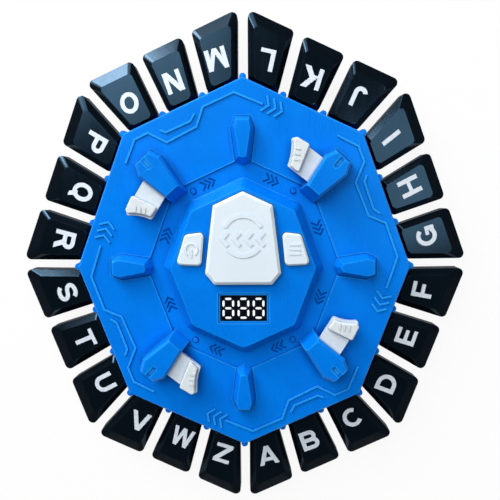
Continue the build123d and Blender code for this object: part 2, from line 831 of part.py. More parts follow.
# Top shell: deck with its ring and recesses, skirt, key hinges and screw posts
with BuildPart() as top_shell:
    with BuildSketch(Plane.XY.offset(deck_under)):
        Polygon(*deck_outline)
    extrude(amount=deck_thickness)
    chamfer(top_shell.edges().group_by(Axis.Z)[-1], deck_edge)
    with BuildSketch(Plane.XY.offset(ring_top)):
        Polygon(*corners(ring_width / 2))
    extrude(amount=ring_depth, mode=Mode.SUBTRACT)
    with BuildSketch(Plane.XY.offset(ring_top - ring_chevron_depth)):
        for i in range(side_count):
            for k in range(chevron_count):
                tip = (k - (chevron_count - 1) / 2) * ring_chevron_pitch + ring_chevron_sweep / 2
                tip += ring_chevron_shift
                points = chevron(tip, 0, ring_chevron_height, ring_chevron_sweep)
                Polygon(*stroke(on_side(i, 0, points, ring_middle), ring_chevron_stroke))
    extrude(amount=ring_chevron_depth, mode=Mode.SUBTRACT)
    with BuildSketch(Plane.XY.offset(deck_height)):
        for i in range(tower_count):
            for shares in (long_line_shares, short_line_shares):
                points = [plan(share * deck_radius, a + quarter_deg * i) for share, a in shares]
                Polygon(*stroke(points, line_stroke))
        for i in range(1, side_count, 2):
            for k in range(chevron_count):
                tip = k * deck_chevron_pitch - deck_chevron_start
                points = chevron(tip, 0, deck_chevron_height, deck_chevron_sweep)
                Polygon(*stroke(on_side(i, deck_chevron_inset, points), line_stroke))
    extrude(amount=line_rise)
    with BuildSketch(Plane.XY.offset(ring_top)):
        for angle_deg in fin_angles:
            Polygon(*inset(fin_base(angle_deg), -seat_room))
        with Locations(*tower_planes):
            Polygon(*inset(tower_base, -seat_room))
    extrude(amount=ring_depth + line_rise, mode=Mode.SUBTRACT)
    with BuildSketch(Plane.XY.offset(deck_under)):
        Polygon(*hub_opening)
        for angle_deg in fin_angles:
            Polygon(*fin_pocket(angle_deg))
        with Locations(*tower_planes):
            Polygon(*tower_hollow)
    extrude(amount=deck_thickness, mode=Mode.SUBTRACT)
    with BuildSketch(Plane.XY.offset(deck_under - overrun)):
        with Locations(*lens_places):
            Circle(lens_radius + fit_clearance)
    extrude(amount=deck_thickness + overrun, mode=Mode.SUBTRACT)
    with BuildSketch(Plane.XY.offset(parting_height)):
        Polygon(*skirt_outline)
        Polygon(*inset(skirt_outline, wall), mode=Mode.SUBTRACT)
        with Locations(*lug_places):
            SlotOverall(lug_length, lug_width)
    extrude(amount=deck_under - parting_height)
    with BuildSketch(Plane.XY.offset(parting_height)):
        for i in range(side_count):
            with Locations(*at_tails(i, skirt_inset + wall / 2, 0)):
                Rectangle(tail_width + 2 * slot_room, wall + 2 * overrun)
    extrude(amount=slot_height, mode=Mode.SUBTRACT)
    with BuildSketch(Plane.XY.offset(pivot_height - ear_drop)):
        ear_offset = (tail_width + ear_thickness) / 2 + side_play
        for i in range(side_count):
            for tail in at_tails(i, pivot_inset, 0):
                with Locations(tail * Location((ear_offset, 0)), tail * Location((-ear_offset, 0))):
                    Rectangle(ear_thickness, ear_width)
    extrude(amount=deck_under - pivot_height + ear_drop)
    add(rod_holes.part, mode=Mode.SUBTRACT)
    with BuildSketch(Plane.XY.offset(boss_top)):
        with Locations(*shell_post_places):
            Circle(post_radius)
    extrude(amount=deck_under - boss_top)
    with BuildSketch(Plane.XY.offset(boss_top)):
        with Locations(*shell_post_places):
            Circle(shell_screw_radius + screw_room)
    extrude(amount=screw_seat + shell_screw_length - boss_top + overrun, mode=Mode.SUBTRACT)
    with BuildSketch(Plane.XY.offset(main_board_top)):
        with Locations(*board_post_places):
            Circle(board_post_radius)
    extrude(amount=deck_under - main_board_top)
    with BuildSketch(Plane.XY.offset(main_board_top)):
        with Locations(*board_post_places):
            Circle(board_screw_radius + screw_room)
    extrude(amount=board_screw_length - board_thickness + screw_room, mode=Mode.SUBTRACT)
top_shell.part.label = "top_shell"
export_step(top_shell.part, "parts/top_shell.step")

# Bottom shell: floor, low wall, board posts, screw bosses, speaker fence and battery bay
with BuildPart() as bottom_shell:
    with BuildSketch(Plane.XY.offset(foot_stand)):
        Polygon(*skirt_outline)
    extrude(amount=floor_thickness)
    chamfer(bottom_shell.edges().group_by(Axis.Z)[0], deck_edge)
    with BuildSketch(Plane.XY.offset(floor_top)):
        Polygon(*skirt_outline)
        Polygon(*inset(skirt_outline, wall), mode=Mode.SUBTRACT)
    extrude(amount=parting_height - floor_top)
    with BuildSketch(Plane.XY.offset(floor_top)):
        with Locations(*contact_post_places):
            Circle(board_post_radius)
    extrude(amount=contact_board_height - floor_top)
    with BuildSketch(Plane.XY.offset(floor_top)):
        with Locations(*shell_post_places):
            Circle(post_radius)
    extrude(amount=boss_rise)
    with BuildSketch(Plane.XY.offset(floor_top)):
        with Locations((0, speaker_place)):
            Circle(speaker_radius + speaker_room + speaker_fence)
            Circle(speaker_radius + speaker_room, mode=Mode.SUBTRACT)
    extrude(amount=speaker_fence_rise)
    with BuildSketch(Plane.XY.offset(floor_top)):
        with Locations((0, recess_place)):
            Rectangle(recess_length + 2 * bay_wall, recess_width + 2 * bay_wall)
    extrude(amount=ledge_under + ledge_thickness - floor_top)
    with BuildSketch(Plane.XY.offset(floor_top)):
        with Locations((0, bay_place)):
            Rectangle(bay_length + 2 * bay_wall, bay_width + 2 * bay_wall)
    extrude(amount=bay_ceiling + bay_wall - floor_top)
    with BuildSketch(Plane.XY.offset(floor_top)):
        with Locations((0, door_screw_place)):
            Circle(door_boss_radius)
    extrude(amount=ledge_under + ledge_thickness + door_boss_rise - floor_top)
    with BuildSketch(Plane.XY.offset(foot_stand)):
        with Locations((0, recess_place)):
            Rectangle(recess_length, recess_width)
    extrude(amount=ledge_under - foot_stand, mode=Mode.SUBTRACT)
    with BuildSketch(Plane.XY.offset(ledge_under)):
        with Locations((0, bay_place)):
            Rectangle(bay_length, bay_width)
    extrude(amount=bay_ceiling - ledge_under, mode=Mode.SUBTRACT)
    with BuildSketch(Plane.XY.offset(ledge_under)):
        with Locations((0, door_screw_place)):
            Circle(door_screw_radius + screw_room)
    extrude(amount=door_screw_length, mode=Mode.SUBTRACT)
    with BuildSketch(Plane.XY.offset(foot_stand)):
        for k in range(grille_slots):
            slot_y = (k - (grille_slots - 1) / 2) * grille_pitch
            slot_half = sqrt(grille_radius ** 2 - slot_y ** 2)
            with Locations((0, speaker_place + slot_y)):
                SlotOverall(2 * slot_half, grille_slot_width)
    extrude(amount=floor_thickness, mode=Mode.SUBTRACT)
    with BuildSketch(Plane.XY.offset(foot_stand)):
        with Locations(*shell_post_places):
            Circle(shell_screw_head_radius + screw_room)
    extrude(amount=screw_seat - foot_stand, mode=Mode.SUBTRACT)
    with BuildSketch(Plane.XY.offset(screw_seat)):
        with Locations(*shell_post_places):
            Circle(shell_screw_radius + screw_room)
    extrude(amount=boss_top - screw_seat, mode=Mode.SUBTRACT)
    with BuildSketch(Plane.XY.offset(foot_stand)):
        with Locations(*foot_places):
            Circle(foot_radius)
    extrude(amount=foot_seat, mode=Mode.SUBTRACT)
bottom_shell.part.label = "bottom_shell"
export_step(bottom_shell.part, "parts/bottom_shell.step")

# Letter keys: those of the first two sides, and their mirror images on the other six
for first, m in [(first, m) for first in (0, 1) for m in range(keys_per_side)]:
    drawn = make_key(first, m)
    opposite = keys_per_side - 1 - m
    for i, place, mirrors in (
        (first, m, ()),
        (half_count - 1 - first, opposite, (Plane.YZ,)),
        (half_count + first, m, (Plane.YZ, Plane.XZ)),
        (side_count - 1 - first, opposite, (Plane.XZ,)),
    ):
        letter = letters[i * keys_per_side + place]
        with BuildPart() as key:
            add(drawn.part)
            for plane in mirrors:
                mirror(about=plane, mode=Mode.REPLACE)
        key.part.label = f"key_{letter}"
        export_step(key.part, f"parts/key_{letter}.step")

# Pivot rods of the keys, one to a side
key_pivot_rods = side_rods(rod_radius)
key_pivot_rods.part.label = "key_pivot_rods"
export_step(key_pivot_rods.part, "parts/key_pivot_rods.step")

# Contact board: an eight-sided ring under the key tails
with BuildPart() as key_contact_board:
    with BuildSketch(Plane.XY.offset(contact_board_height)):
        Polygon(*inset(deck_outline, contact_inset))
        Polygon(*inset(deck_outline, contact_inset + contact_board_depth), mode=Mode.SUBTRACT)
    extrude(amount=board_thickness)
key_contact_board.part.label = "key_contact_board"
export_step(key_contact_board.part, "parts/key_contact_board.step")

# Rubber dome strips, one to a side, with a dome under each key tail
with BuildPart() as key_dome_strips:
    strip_inset = pivot_inset - dome_reach
    for i in range(side_count):
        with BuildSketch(side_plane(i, strip_inset, contact_board_top)):
            Rectangle(2 * tail_places(i)[0] + 2 * strip_end, strip_width)
        extrude(amount=strip_thickness)
        strip_top = contact_board_top + strip_thickness
        with BuildSketch(side_plane(i, strip_inset, strip_top)):
            with Locations(*[(x, 0) for x in tail_places(i)]):
                Circle(dome_radius)
        dome_taper_deg = degrees(atan2(dome_radius - dome_top_radius, dome_top - strip_top))
        extrude(amount=dome_top - strip_top, taper=dome_taper_deg)
key_dome_strips.part.label = "key_dome_strips"
export_step(key_dome_strips.part, "parts/key_dome_strips.step")

plunger_top = main_board_top + switch_height + plunger_height
paddle_middle = (paddle_inner + paddle_outer) / 2

# Thumb paddles: flat arm, ridged pad, a foot over its switch, and a barrel on its pin
paddle_low = paddle_height - paddle_thickness / 2
barrel_plane = Plane(origin=(paddle_inner, 0, paddle_height), x_dir=(0, 1, 0), z_dir=(1, 0, 0))
paddle_kinds = []
for kind in (0, 1):
    with BuildPart() as paddle:
        with BuildSketch(Plane.XY.offset(paddle_low)) as plate:
            with BuildLine():
                Polyline(
                    paddle_point(kind, plate_inner_far), paddle_point(kind, plate_inner_root),
                    (paddle_inner, paddle_neck), (paddle_inner, 0),
                    (paddle_outer, 0), (paddle_outer, paddle_neck),
                    paddle_point(kind, plate_outer_root), paddle_point(kind, plate_outer_far),
                    paddle_point(kind, plate_tip))
                ThreePointArc(
                    paddle_point(kind, plate_tip), paddle_point(kind, plate_hollow),
                    paddle_point(kind, plate_inner_far))
            make_face()
            fillet(plate.vertices().sort_by(Axis.Y)[-3:], plate_corner_radius)
        extrude(amount=paddle_thickness)
        with BuildSketch(Plane.XY.offset(paddle_low)) as pad:
            with BuildLine():
                Polyline(
                    paddle_point(kind, pad_inner_far), paddle_point(kind, pad_inner_near),
                    paddle_point(kind, pad_outer_near), paddle_point(kind, pad_outer_far),
                    paddle_point(kind, pad_tip))
                ThreePointArc(
                    paddle_point(kind, pad_tip), paddle_point(kind, pad_hollow),
                    paddle_point(kind, pad_inner_far))
            make_face()
            fillet(pad.vertices(), pad_corner_radius)
        extrude(amount=paddle_thickness / 2 + pad_rise)
        fillet(paddle.faces().sort_by(Axis.Z)[-1].edges(), pad_edge)
        with BuildSketch(Plane.XY.offset(paddle_height + pad_rise)):
            for k in range(ridge_count):
                Polygon(*stroke([paddle_point(kind, end) for end in ridge_ends(k)], ridge_width))
        extrude(amount=ridge_rise)
        with BuildSketch(Plane.XY.offset(plunger_top + switch_gap)):
            with Locations((paddle_middle, paddle_foot_offset)):
                Rectangle(paddle_foot_width, paddle_foot_thickness)
        extrude(amount=paddle_height - plunger_top - switch_gap)
        with BuildSketch(barrel_plane):
            Circle(paddle_barrel_radius)
        extrude(amount=paddle_outer - paddle_inner)
        with BuildSketch(pin_plane):
            Circle(paddle_pin_radius + fit_clearance)
        extrude(amount=pin_length, mode=Mode.SUBTRACT)
    paddle_kinds.append(paddle)

# A paddle beside each tower, with their pins and switches
for i, quarter in enumerate(("north_east", "north_west", "south_west", "south_east")):
    with BuildPart() as placed_paddle:
        with Locations(tower_planes[i]):
            add(paddle_kinds[i % 2].part)
    placed_paddle.part.label = f"paddle_{quarter}"
    export_step(placed_paddle.part, f"parts/paddle_{quarter}.step")

with BuildPart() as paddle_pins:
    for frame in tower_planes:
        pin_foot = frame.from_local_coords(pin_plane.origin)
        with BuildSketch(Plane(origin=pin_foot, x_dir=frame.y_dir, z_dir=frame.x_dir)):
            Circle(paddle_pin_radius)
        extrude(amount=pin_length)
paddle_pins.part.label = "paddle_pins"
export_step(paddle_pins.part, "parts/paddle_pins.step")

with BuildPart() as paddle_switches:
    switch_place = (paddle_middle, paddle_foot_offset)
    for i in range(tower_count):
        with BuildSketch(tower_plane(i, main_board_top)):
            with Locations(switch_place):
                Rectangle(switch_size, switch_size)
        extrude(amount=switch_height)
        with BuildSketch(tower_plane(i, main_board_top + switch_height)):
            with Locations(switch_place):
                Circle(plunger_radius)
        extrude(amount=plunger_height)
paddle_switches.part.label = "paddle_switches"
export_step(paddle_switches.part, "parts/paddle_switches.step")

button_low = hub_under - button_skirt
tab_low = hub_under - tab_gap - tab_thickness
pass_top = hub_top + pass_rise
small_top = hub_top + small_rise
pass_edge_share = (pass_shoulder - pass_tab_height) / (pass_shoulder - pass_hip)
pass_edge_half = pass_shoulder_half + pass_edge_share * (pass_hip_half - pass_shoulder_half)

# Large button with a ring-and-chevron mark
with BuildPart() as pass_button:
    with BuildSketch(Plane.XY.offset(button_low)):
        add(rounded(pass_outline, pass_corner))
    extrude(amount=pass_top - pass_bevel_height - button_low)
    with BuildSketch(Plane.XY.offset(pass_top - pass_bevel_height)):
        add(rounded(pass_outline, pass_corner))
    with BuildSketch(Plane.XY.offset(pass_top)):
        add(rounded(inset(pass_outline, pass_bevel), pass_corner))
    loft()
    pass_ceiling = pass_top - pass_bevel_height - pass_wall
    with BuildSketch(Plane.XY.offset(button_low)):
        Polygon(*inset(pass_outline, pass_wall))
    extrude(amount=pass_ceiling - button_low, mode=Mode.SUBTRACT)
    with BuildSketch(Plane.XY.offset(stem_end)):
        with Locations((0, pass_centre)):
            Circle(pass_stem_radius)
    extrude(amount=pass_ceiling - stem_end)
    with BuildSketch(Plane.XY.offset(tab_low)):
        with Locations((pass_tab_offset, pass_foot), (-pass_tab_offset, pass_foot)):
            Rectangle(tab_length, 2 * tab_reach)
        with Locations((pass_edge_half, pass_tab_height), (-pass_edge_half, pass_tab_height)):
            Rectangle(2 * tab_reach, tab_length)
    extrude(amount=tab_thickness)
    with BuildSketch(Plane((0, mark_centre, pass_top))):
        arc_radius = mark_outer_radius - mark_stroke / 2
        for middle_deg, arc_deg in ((90, mark_upper_arc_deg), (270, mark_lower_arc_deg)):
            with BuildLine():
                CenterArc((0, 0), arc_radius, middle_deg - arc_deg / 2, arc_deg)
            trace(line_width=mark_stroke)
        for k in range(mark_chevron_count):
            tip = (k - (mark_chevron_count - 1) / 2) * mark_chevron_pitch + mark_chevron_sweep / 2
            points = chevron(tip, mark_chevron_drop, mark_chevron_height, mark_chevron_sweep)
            Polygon(*stroke([-point for point in points], mark_stroke))
    extrude(amount=mark_rise)
pass_button.part.label = "pass_button"
export_step(pass_button.part, "parts/pass_button.step")


def button_body(outline, centre_x):
    """A small button's bevelled hollow body, its stem and its two holding tabs."""
    ceiling = small_top - small_bevel - small_wall
    with BuildSketch(Plane.XY.offset(button_low)) as skirt:
        add(rounded(outline, small_corner))
    body = extrude(skirt.sketch, amount=small_top - button_low)
    chamfer(body.edges().group_by(Axis.Z)[-1], small_bevel)
    with BuildSketch(Plane.XY.offset(button_low)) as hollow:
        Polygon(*inset(outline, small_wall))
    extrude(hollow.sketch, amount=ceiling - button_low, mode=Mode.SUBTRACT)
    with BuildSketch(Plane.XY.offset(stem_end)) as stem:
        with Locations((centre_x, small_centre_y)):
            Circle(small_stem_radius)
    extrude(stem.sketch, amount=ceiling - stem_end)
    with BuildSketch(Plane.XY.offset(tab_low)) as tabs:
        with Locations((centre_x, small_head), (centre_x, small_foot)):
            Rectangle(tab_length, 2 * tab_reach)
    extrude(tabs.sketch, amount=tab_thickness)


# Power button with a ring-and-bar mark, read from the far side
with BuildPart() as power_button:
    button_body(power_outline, -small_centre_x)
    with BuildSketch(Plane((-small_centre_x, small_centre_y, small_top))):
        with BuildLine():
            CenterArc((0, 0), symbol_radius, symbol_gap_deg / 2 - 90, 360 - symbol_gap_deg)
        trace(line_width=symbol_stroke)
        with Locations((0, -symbol_radius / 2 - symbol_stroke / 2)):
            Rectangle(symbol_stroke, symbol_radius + symbol_stroke)
    extrude(amount=symbol_rise)
power_button.part.label = "power_button"
export_step(power_button.part, "parts/power_button.step")

# Level button with three bars
with BuildPart() as level_button:
    button_body(level_outline, small_centre_x)
    with BuildSketch(Plane((small_centre_x, small_centre_y, small_top))):
        with GridLocations(0, level_bar_pitch, 1, level_bar_count):
            SlotOverall(level_bar_length, symbol_stroke)
    extrude(amount=symbol_rise)
level_button.part.label = "level_button"
export_step(level_button.part, "parts/level_button.step")

# Rubber dome pad under the three hub buttons
with BuildPart() as button_dome_pad:
    sheet_half = small_centre_x + pad_sheet_margin
    sheet_low = small_centre_y - pad_sheet_margin
    sheet_high = pass_centre + pass_dome_radius + pad_sheet_thickness
    with BuildSketch(Plane.XY.offset(main_board_top)):
        with Locations((0, (sheet_low + sheet_high) / 2)):
            Rectangle(2 * sheet_half, sheet_high - sheet_low)
    extrude(amount=pad_sheet_thickness)
    sheet_top = main_board_top + pad_sheet_thickness
    for place, low_radius, high_radius in (
        ((0, pass_centre), pass_dome_radius, pass_dome_top_radius),
        ((-small_centre_x, small_centre_y), small_dome_radius, small_dome_top_radius),
        ((small_centre_x, small_centre_y), small_dome_radius, small_dome_top_radius),
    ):
        with BuildSketch(Plane.XY.offset(sheet_top)):
            with Locations(place):
                Circle(low_radius)
        taper_deg = degrees(atan2(low_radius - high_radius, button_dome_rise))
        extrude(amount=button_dome_rise, taper=taper_deg)
button_dome_pad.part.label = "button_dome_pad"
export_step(button_dome_pad.part, "parts/button_dome_pad.step")

# Main board with an arm out to each tower's switch
with BuildPart() as main_board:
    with BuildSketch(Plane.XY.offset(main_board_height)):
        Polygon(*corners(main_board_radius))
        for i in range(tower_count):
            arm = [
                Vector(0, -board_arm_width / 2), Vector(board_arm_end, -board_arm_width / 2),
                Vector(board_arm_end, board_arm_width / 2), Vector(0, board_arm_width / 2)]
            Polygon(*[tower_plane(i, 0).from_local_coords(point) for point in arm])
        with Locations(*board_post_places):
            Circle(board_screw_radius + screw_room, mode=Mode.SUBTRACT)
    extrude(amount=board_thickness)
main_board.part.label = "main_board"
export_step(main_board.part, "parts/main_board.step")

with BuildPart() as board_screws:
    with BuildSketch(Plane.XY.offset(main_board_height - board_screw_head)):
        with Locations(*board_post_places):
            Circle(board_screw_head_radius)
    extrude(amount=board_screw_head)
    with BuildSketch(Plane.XY.offset(main_board_height)):
        with Locations(*board_post_places):
            Circle(board_screw_radius)
    extrude(amount=board_screw_length)
board_screws.part.label = "board_screws"
export_step(board_screws.part, "parts/board_screws.step")


def segment(start, end):
    """A pointed display segment between two corners of a digit."""
    along = (end - start).normalized()
    tip, tail = end - along * segment_gap, start + along * segment_gap
    lean = along * (segment_stroke / 2)
    side_step = turn_left(lean)
    return [
        tail, tail + lean - side_step, tip - lean - side_step,
        tip, tip - lean + side_step, tail + lean + side_step]


def digit(centre_x):
    """The seven segments of one digit."""
    left, right = centre_x - digit_half_width, centre_x + digit_half_width
    low, middle, high = (display_place + k * digit_half_height for k in (-1, 0, 1))
    bars = [segment(Vector(left, y), Vector(right, y)) for y in (low, middle, high)]
    for x in (left, right):
        bars.append(segment(Vector(x, low), Vector(x, middle)))
        bars.append(segment(Vector(x, middle), Vector(x, high)))
    return bars


display_top = hub_top - display_sunk
display_low = display_top - display_height
digit_places = [(k - (digit_count - 1) / 2) * digit_pitch for k in range(digit_count)]
segments = [bar for centre_x in digit_places for bar in digit(centre_x)]

# Display block with a pocket for each segment, and pins down to the main board
with BuildPart() as display_module:
    with BuildSketch(Plane.XY.offset(display_low)):
        with Locations((0, display_place)):
            Rectangle(display_width, display_depth)
    extrude(amount=display_height)
    with BuildSketch(Plane.XY.offset(display_top - segment_depth)):
        for bar in segments:
            Polygon(*bar)
    extrude(amount=segment_depth, mode=Mode.SUBTRACT)
    with BuildSketch(Plane.XY.offset(main_board_top)):
        with Locations((0, display_place)):
            with GridLocations(pin_pitch, pin_row_pitch, pin_count, pin_row_count):
                Circle(pin_radius)
    extrude(amount=display_low - main_board_top)
display_module.part.label = "display_module"
export_step(display_module.part, "parts/display_module.step")

with BuildPart() as display_segments:
    with BuildSketch(Plane.XY.offset(display_top - segment_depth)):
        for bar in segments:
            Polygon(*bar)
    extrude(amount=segment_depth + segment_rise)
display_segments.part.label = "display_segments"
export_step(display_segments.part, "parts/display_segments.step")

# Indicator lenses, and the lamps below them
with BuildPart() as indicator_lenses:
    with BuildSketch(Plane.XY.offset(ring_top - lens_depth)):
        with Locations(*lens_places):
            Circle(lens_radius)
    extrude(amount=lens_depth + lens_rise)
    fillet(indicator_lenses.edges().group_by(Axis.Z)[-1], lens_edge_share * lens_rise)
indicator_lenses.part.label = "indicator_lenses"
export_step(indicator_lenses.part, "parts/indicator_lenses.step")

with BuildPart() as indicator_lamps:
    with BuildSketch(Plane.XY.offset(main_board_top)):
        with Locations(*lens_places):
            Rectangle(lamp_length, lamp_width)
    extrude(amount=lamp_height)
indicator_lamps.part.label = "indicator_lamps"
export_step(indicator_lamps.part, "parts/indicator_lamps.step")

# Shell screws, each with a cross recess in its head
with BuildPart() as shell_screws:
    head_low = screw_seat - shell_screw_head
    with BuildSketch(Plane.XY.offset(head_low)):
        with Locations(*shell_post_places):
            Circle(shell_screw_head_radius)
    extrude(amount=shell_screw_head)
    with BuildSketch(Plane.XY.offset(screw_seat)):
        with Locations(*shell_post_places):
            Circle(shell_screw_radius)
    extrude(amount=shell_screw_length)
    with BuildSketch(Plane.XY.offset(head_low)):
        with Locations(*shell_post_places):
            Rectangle(shell_screw_head_radius, cross_width_share * shell_screw_head_radius)
            Rectangle(cross_width_share * shell_screw_head_radius, shell_screw_head_radius)
    extrude(amount=cross_depth_share * shell_screw_head, mode=Mode.SUBTRACT)
shell_screws.part.label = "shell_screws"
export_step(shell_screws.part, "parts/shell_screws.step")

# Rubber feet in their seats
with BuildPart() as rubber_feet:
    with BuildSketch():
        with Locations(*foot_places):
            Circle(foot_radius)
    extrude(amount=foot_stand + foot_seat)
    chamfer(rubber_feet.edges().group_by(Axis.Z)[0], foot_edge)
rubber_feet.part.label = "rubber_feet"
export_step(rubber_feet.part, "parts/rubber_feet.step")

# Battery door with finger grooves, and its screw
with BuildPart() as battery_door:
    with BuildSketch(Plane.XY.offset(foot_stand)):
        with Locations((0, recess_place)):
            Rectangle(recess_length - 2 * door_room, recess_width - 2 * door_room)
    extrude(amount=door_thickness)
    with BuildSketch(Plane.XY.offset(foot_stand)):
        with Locations((0, recess_place + grip_offset)):
            with GridLocations(0, grip_pitch, 1, grip_count):
                SlotOverall(grip_length, grip_width)
    extrude(amount=grip_depth, mode=Mode.SUBTRACT)
    with BuildSketch(Plane.XY.offset(foot_stand)):
        with Locations((0, door_screw_place)):
            Circle(door_screw_head_radius + screw_room)
    extrude(amount=door_screw_head, mode=Mode.SUBTRACT)
    with BuildSketch(Plane.XY.offset(foot_stand)):
        with Locations((0, door_screw_place)):
            Circle(door_screw_radius + screw_room)
    extrude(amount=door_thickness, mode=Mode.SUBTRACT)
battery_door.part.label = "battery_door"
export_step(battery_door.part, "parts/battery_door.step")

with BuildPart() as battery_door_screw:
    with BuildSketch(Plane.XY.offset(foot_stand)):
        with Locations((0, door_screw_place)):
            Circle(door_screw_head_radius)
    extrude(amount=door_screw_head)
    with BuildSketch(Plane.XY.offset(foot_stand + door_screw_head)):
        with Locations((0, door_screw_place)):
            Circle(door_screw_radius)
    extrude(amount=door_screw_length)
    with BuildSketch(Plane.XY.offset(foot_stand)):
        with Locations((0, door_screw_place)):
            Rectangle(door_screw_head_radius, cross_width_share * door_screw_head_radius)
            Rectangle(cross_width_share * door_screw_head_radius, door_screw_head_radius)
    extrude(amount=cross_depth_share * door_screw_head, mode=Mode.SUBTRACT)
battery_door_screw.part.label = "battery_door_screw"
export_step(battery_door_screw.part, "parts/battery_door_screw.step")


def cell_place(k):
    """How far across the bay a cell lies, and which way its cap points along X."""
    return bay_place + (k - (cell_count - 1) / 2) * cell_pitch, 1 if k % 2 == 0 else -1


def along_bay(place_y, way, distance):
    """A plane across the bay at a distance from the spring end, facing the cap end."""
    origin = (way * (distance - bay_length / 2), place_y, cell_height)
    return Plane(origin=origin, x_dir=(0, way, 0), z_dir=(way, 0, 0))


# Battery cells, with their springs and end plates
cell_start = contact_thickness + spring_length
with BuildPart() as battery_cells:
    for k in range(cell_count):
        place_y, way = cell_place(k)
        with BuildSketch(along_bay(place_y, way, cell_start)):
            Circle(cell_radius)
        extrude(amount=cell_length)
        with BuildSketch(along_bay(place_y, way, cell_start + cell_length)):
            Circle(cell_cap_radius)
        extrude(amount=cell_cap_length)
battery_cells.part.label = "battery_cells"
export_step(battery_cells.part, "parts/battery_cells.step")

with BuildPart() as battery_springs:
    for k in range(cell_count):
        place_y, way = cell_place(k)
        with BuildSketch(along_bay(place_y, way, contact_thickness)):
            Circle(spring_radius)
            Circle(spring_radius - spring_wire, mode=Mode.SUBTRACT)
        extrude(amount=spring_length)
battery_springs.part.label = "battery_springs"
export_step(battery_springs.part, "parts/battery_springs.step")

with BuildPart() as battery_contacts:
    for k in range(cell_count):
        place_y, way = cell_place(k)
        for distance in (0, bay_length - contact_thickness):
            with BuildSketch(along_bay(place_y, way, distance)):
                Rectangle(contact_size, contact_size)
            extrude(amount=contact_thickness)
battery_contacts.part.label = "battery_contacts"
export_step(battery_contacts.part, "parts/battery_contacts.step")

# Speaker: rim on the floor, basket and magnet above it
with BuildPart() as speaker:
    rim_top = floor_top + speaker_rim
    basket_top = rim_top + speaker_basket_rise
    for low, rise, radius in (
        (floor_top, speaker_rim, speaker_radius),
        (rim_top, speaker_basket_rise, speaker_basket_radius),
        (basket_top, speaker_magnet_rise, speaker_magnet_radius),
    ):
        with BuildSketch(Plane.XY.offset(low)):
            with Locations((0, speaker_place)):
                Circle(radius)
        extrude(amount=rise)
speaker.part.label = "speaker"
export_step(speaker.part, "parts/speaker.step")
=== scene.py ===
"""Looks of the electronic word game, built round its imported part."""

import json
from math import cos, radians, sin

import bmesh
import bpy
from mathutils import Euler, Matrix, Vector


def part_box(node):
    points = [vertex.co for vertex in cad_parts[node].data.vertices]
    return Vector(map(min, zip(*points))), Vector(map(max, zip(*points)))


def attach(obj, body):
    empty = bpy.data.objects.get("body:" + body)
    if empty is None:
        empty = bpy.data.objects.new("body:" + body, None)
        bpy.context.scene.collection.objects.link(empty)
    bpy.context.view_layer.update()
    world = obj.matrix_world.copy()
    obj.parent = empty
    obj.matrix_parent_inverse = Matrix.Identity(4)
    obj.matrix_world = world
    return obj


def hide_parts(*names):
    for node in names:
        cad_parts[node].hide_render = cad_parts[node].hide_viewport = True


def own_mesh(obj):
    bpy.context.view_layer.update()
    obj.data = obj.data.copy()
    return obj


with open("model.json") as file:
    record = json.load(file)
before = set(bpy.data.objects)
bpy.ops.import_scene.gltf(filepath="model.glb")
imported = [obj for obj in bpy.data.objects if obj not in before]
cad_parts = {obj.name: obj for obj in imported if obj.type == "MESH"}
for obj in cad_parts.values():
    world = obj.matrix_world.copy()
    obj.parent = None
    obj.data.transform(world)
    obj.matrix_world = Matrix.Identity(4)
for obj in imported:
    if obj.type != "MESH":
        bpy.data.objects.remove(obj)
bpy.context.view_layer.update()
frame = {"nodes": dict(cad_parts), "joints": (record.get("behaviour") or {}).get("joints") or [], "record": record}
nodes = frame["nodes"]
joints = {joint["child"]: joint for joint in frame["joints"]}

MM = 0.001
WHITE = (1.0, 1.0, 1.0, 1.0)
UP = Vector((0.0, 0.0, 1.0))

# The keys' tops, tipped down outward, and the print on them
KEY_SLOPE = radians(5.0)
KEY_TOP = 6.0 * MM
CAP_HEIGHT = 12.3 * MM
PRINT_SINK = 0.03 * MM
PRINT_RISE = 0.10 * MM
PRINT_STEP = 0.003 * MM

# Each letter's place on its key: millimetres along the side and down the key, and a turn in degrees
LETTER_PLACES = {
    "g": (-28.3, 31.4, -5), "h": (2.1, 31.6, 6), "i": (31.9, 30.8, 18),
    "j": (-27.1, 33.5, 1), "k": (1.8, 32.2, 7), "l": (29.0, 30.6, 12),
    "m": (-28.2, 31.6, -9), "n": (-0.8, 30.7, -5), "o": (27.0, 30.8, -10),
    "p": (-30.0, 30.4, -10), "q": (-0.4, 28.5, -4), "r": (29.6, 29.4, 6),
    "s": (-28.2, 29.5, -5), "t": (1.8, 30.7, 3), "u": (30.5, 29.7, 8),
    "v": (-25.0, 32.2, 4), "w": (2.3, 30.5, 2), "z": (28.7, 29.3, 7),
    "a": (-28.7, 30.6, -12), "b": (-2.0, 32.6, -5), "c": (26.9, 30.3, 11),
    "d": (-30.6, 30.6, -2), "e": (-0.2, 30.9, 2), "f": (29.0, 29.4, 9),
}

# Strokes of the letters, in shares of the cap height
UPRIGHT = 0.205
HALF = UPRIGHT / 2
LEVEL = 0.185
ARC_STEPS = 14
HALF_OVAL_DEG = 200

# Heights that part grooves and raised lines from the deck, and the pads from the paddles' plates
GROOVE_LOW, GROOVE_HIGH = 28.2 * MM, 28.8 * MM
RIM_LOW, RIM_HIGH = 29.1 * MM, 29.4 * MM
LINE_LOW, LINE_HIGH = 30.3 * MM, 30.6 * MM
PAD_LOW, PAD_HIGH = 37.7 * MM, 38.4 * MM
GROOVE_FADE = 0.2 * MM

# How far sharp edges are rounded: on some fixed nodes, and on every node that moves
SOFT_EDGES = {
    "hub_cover": 0.5 * MM, "paddle_towers": 0.8 * MM, "corner_fins": 0.7 * MM, "top_shell": 0.12 * MM}
MOVING_EDGE = 0.4 * MM
EDGE_STEPS = 2
SHARP_ANGLE = radians(20.0)
WELD_REACH = 0.001 * MM

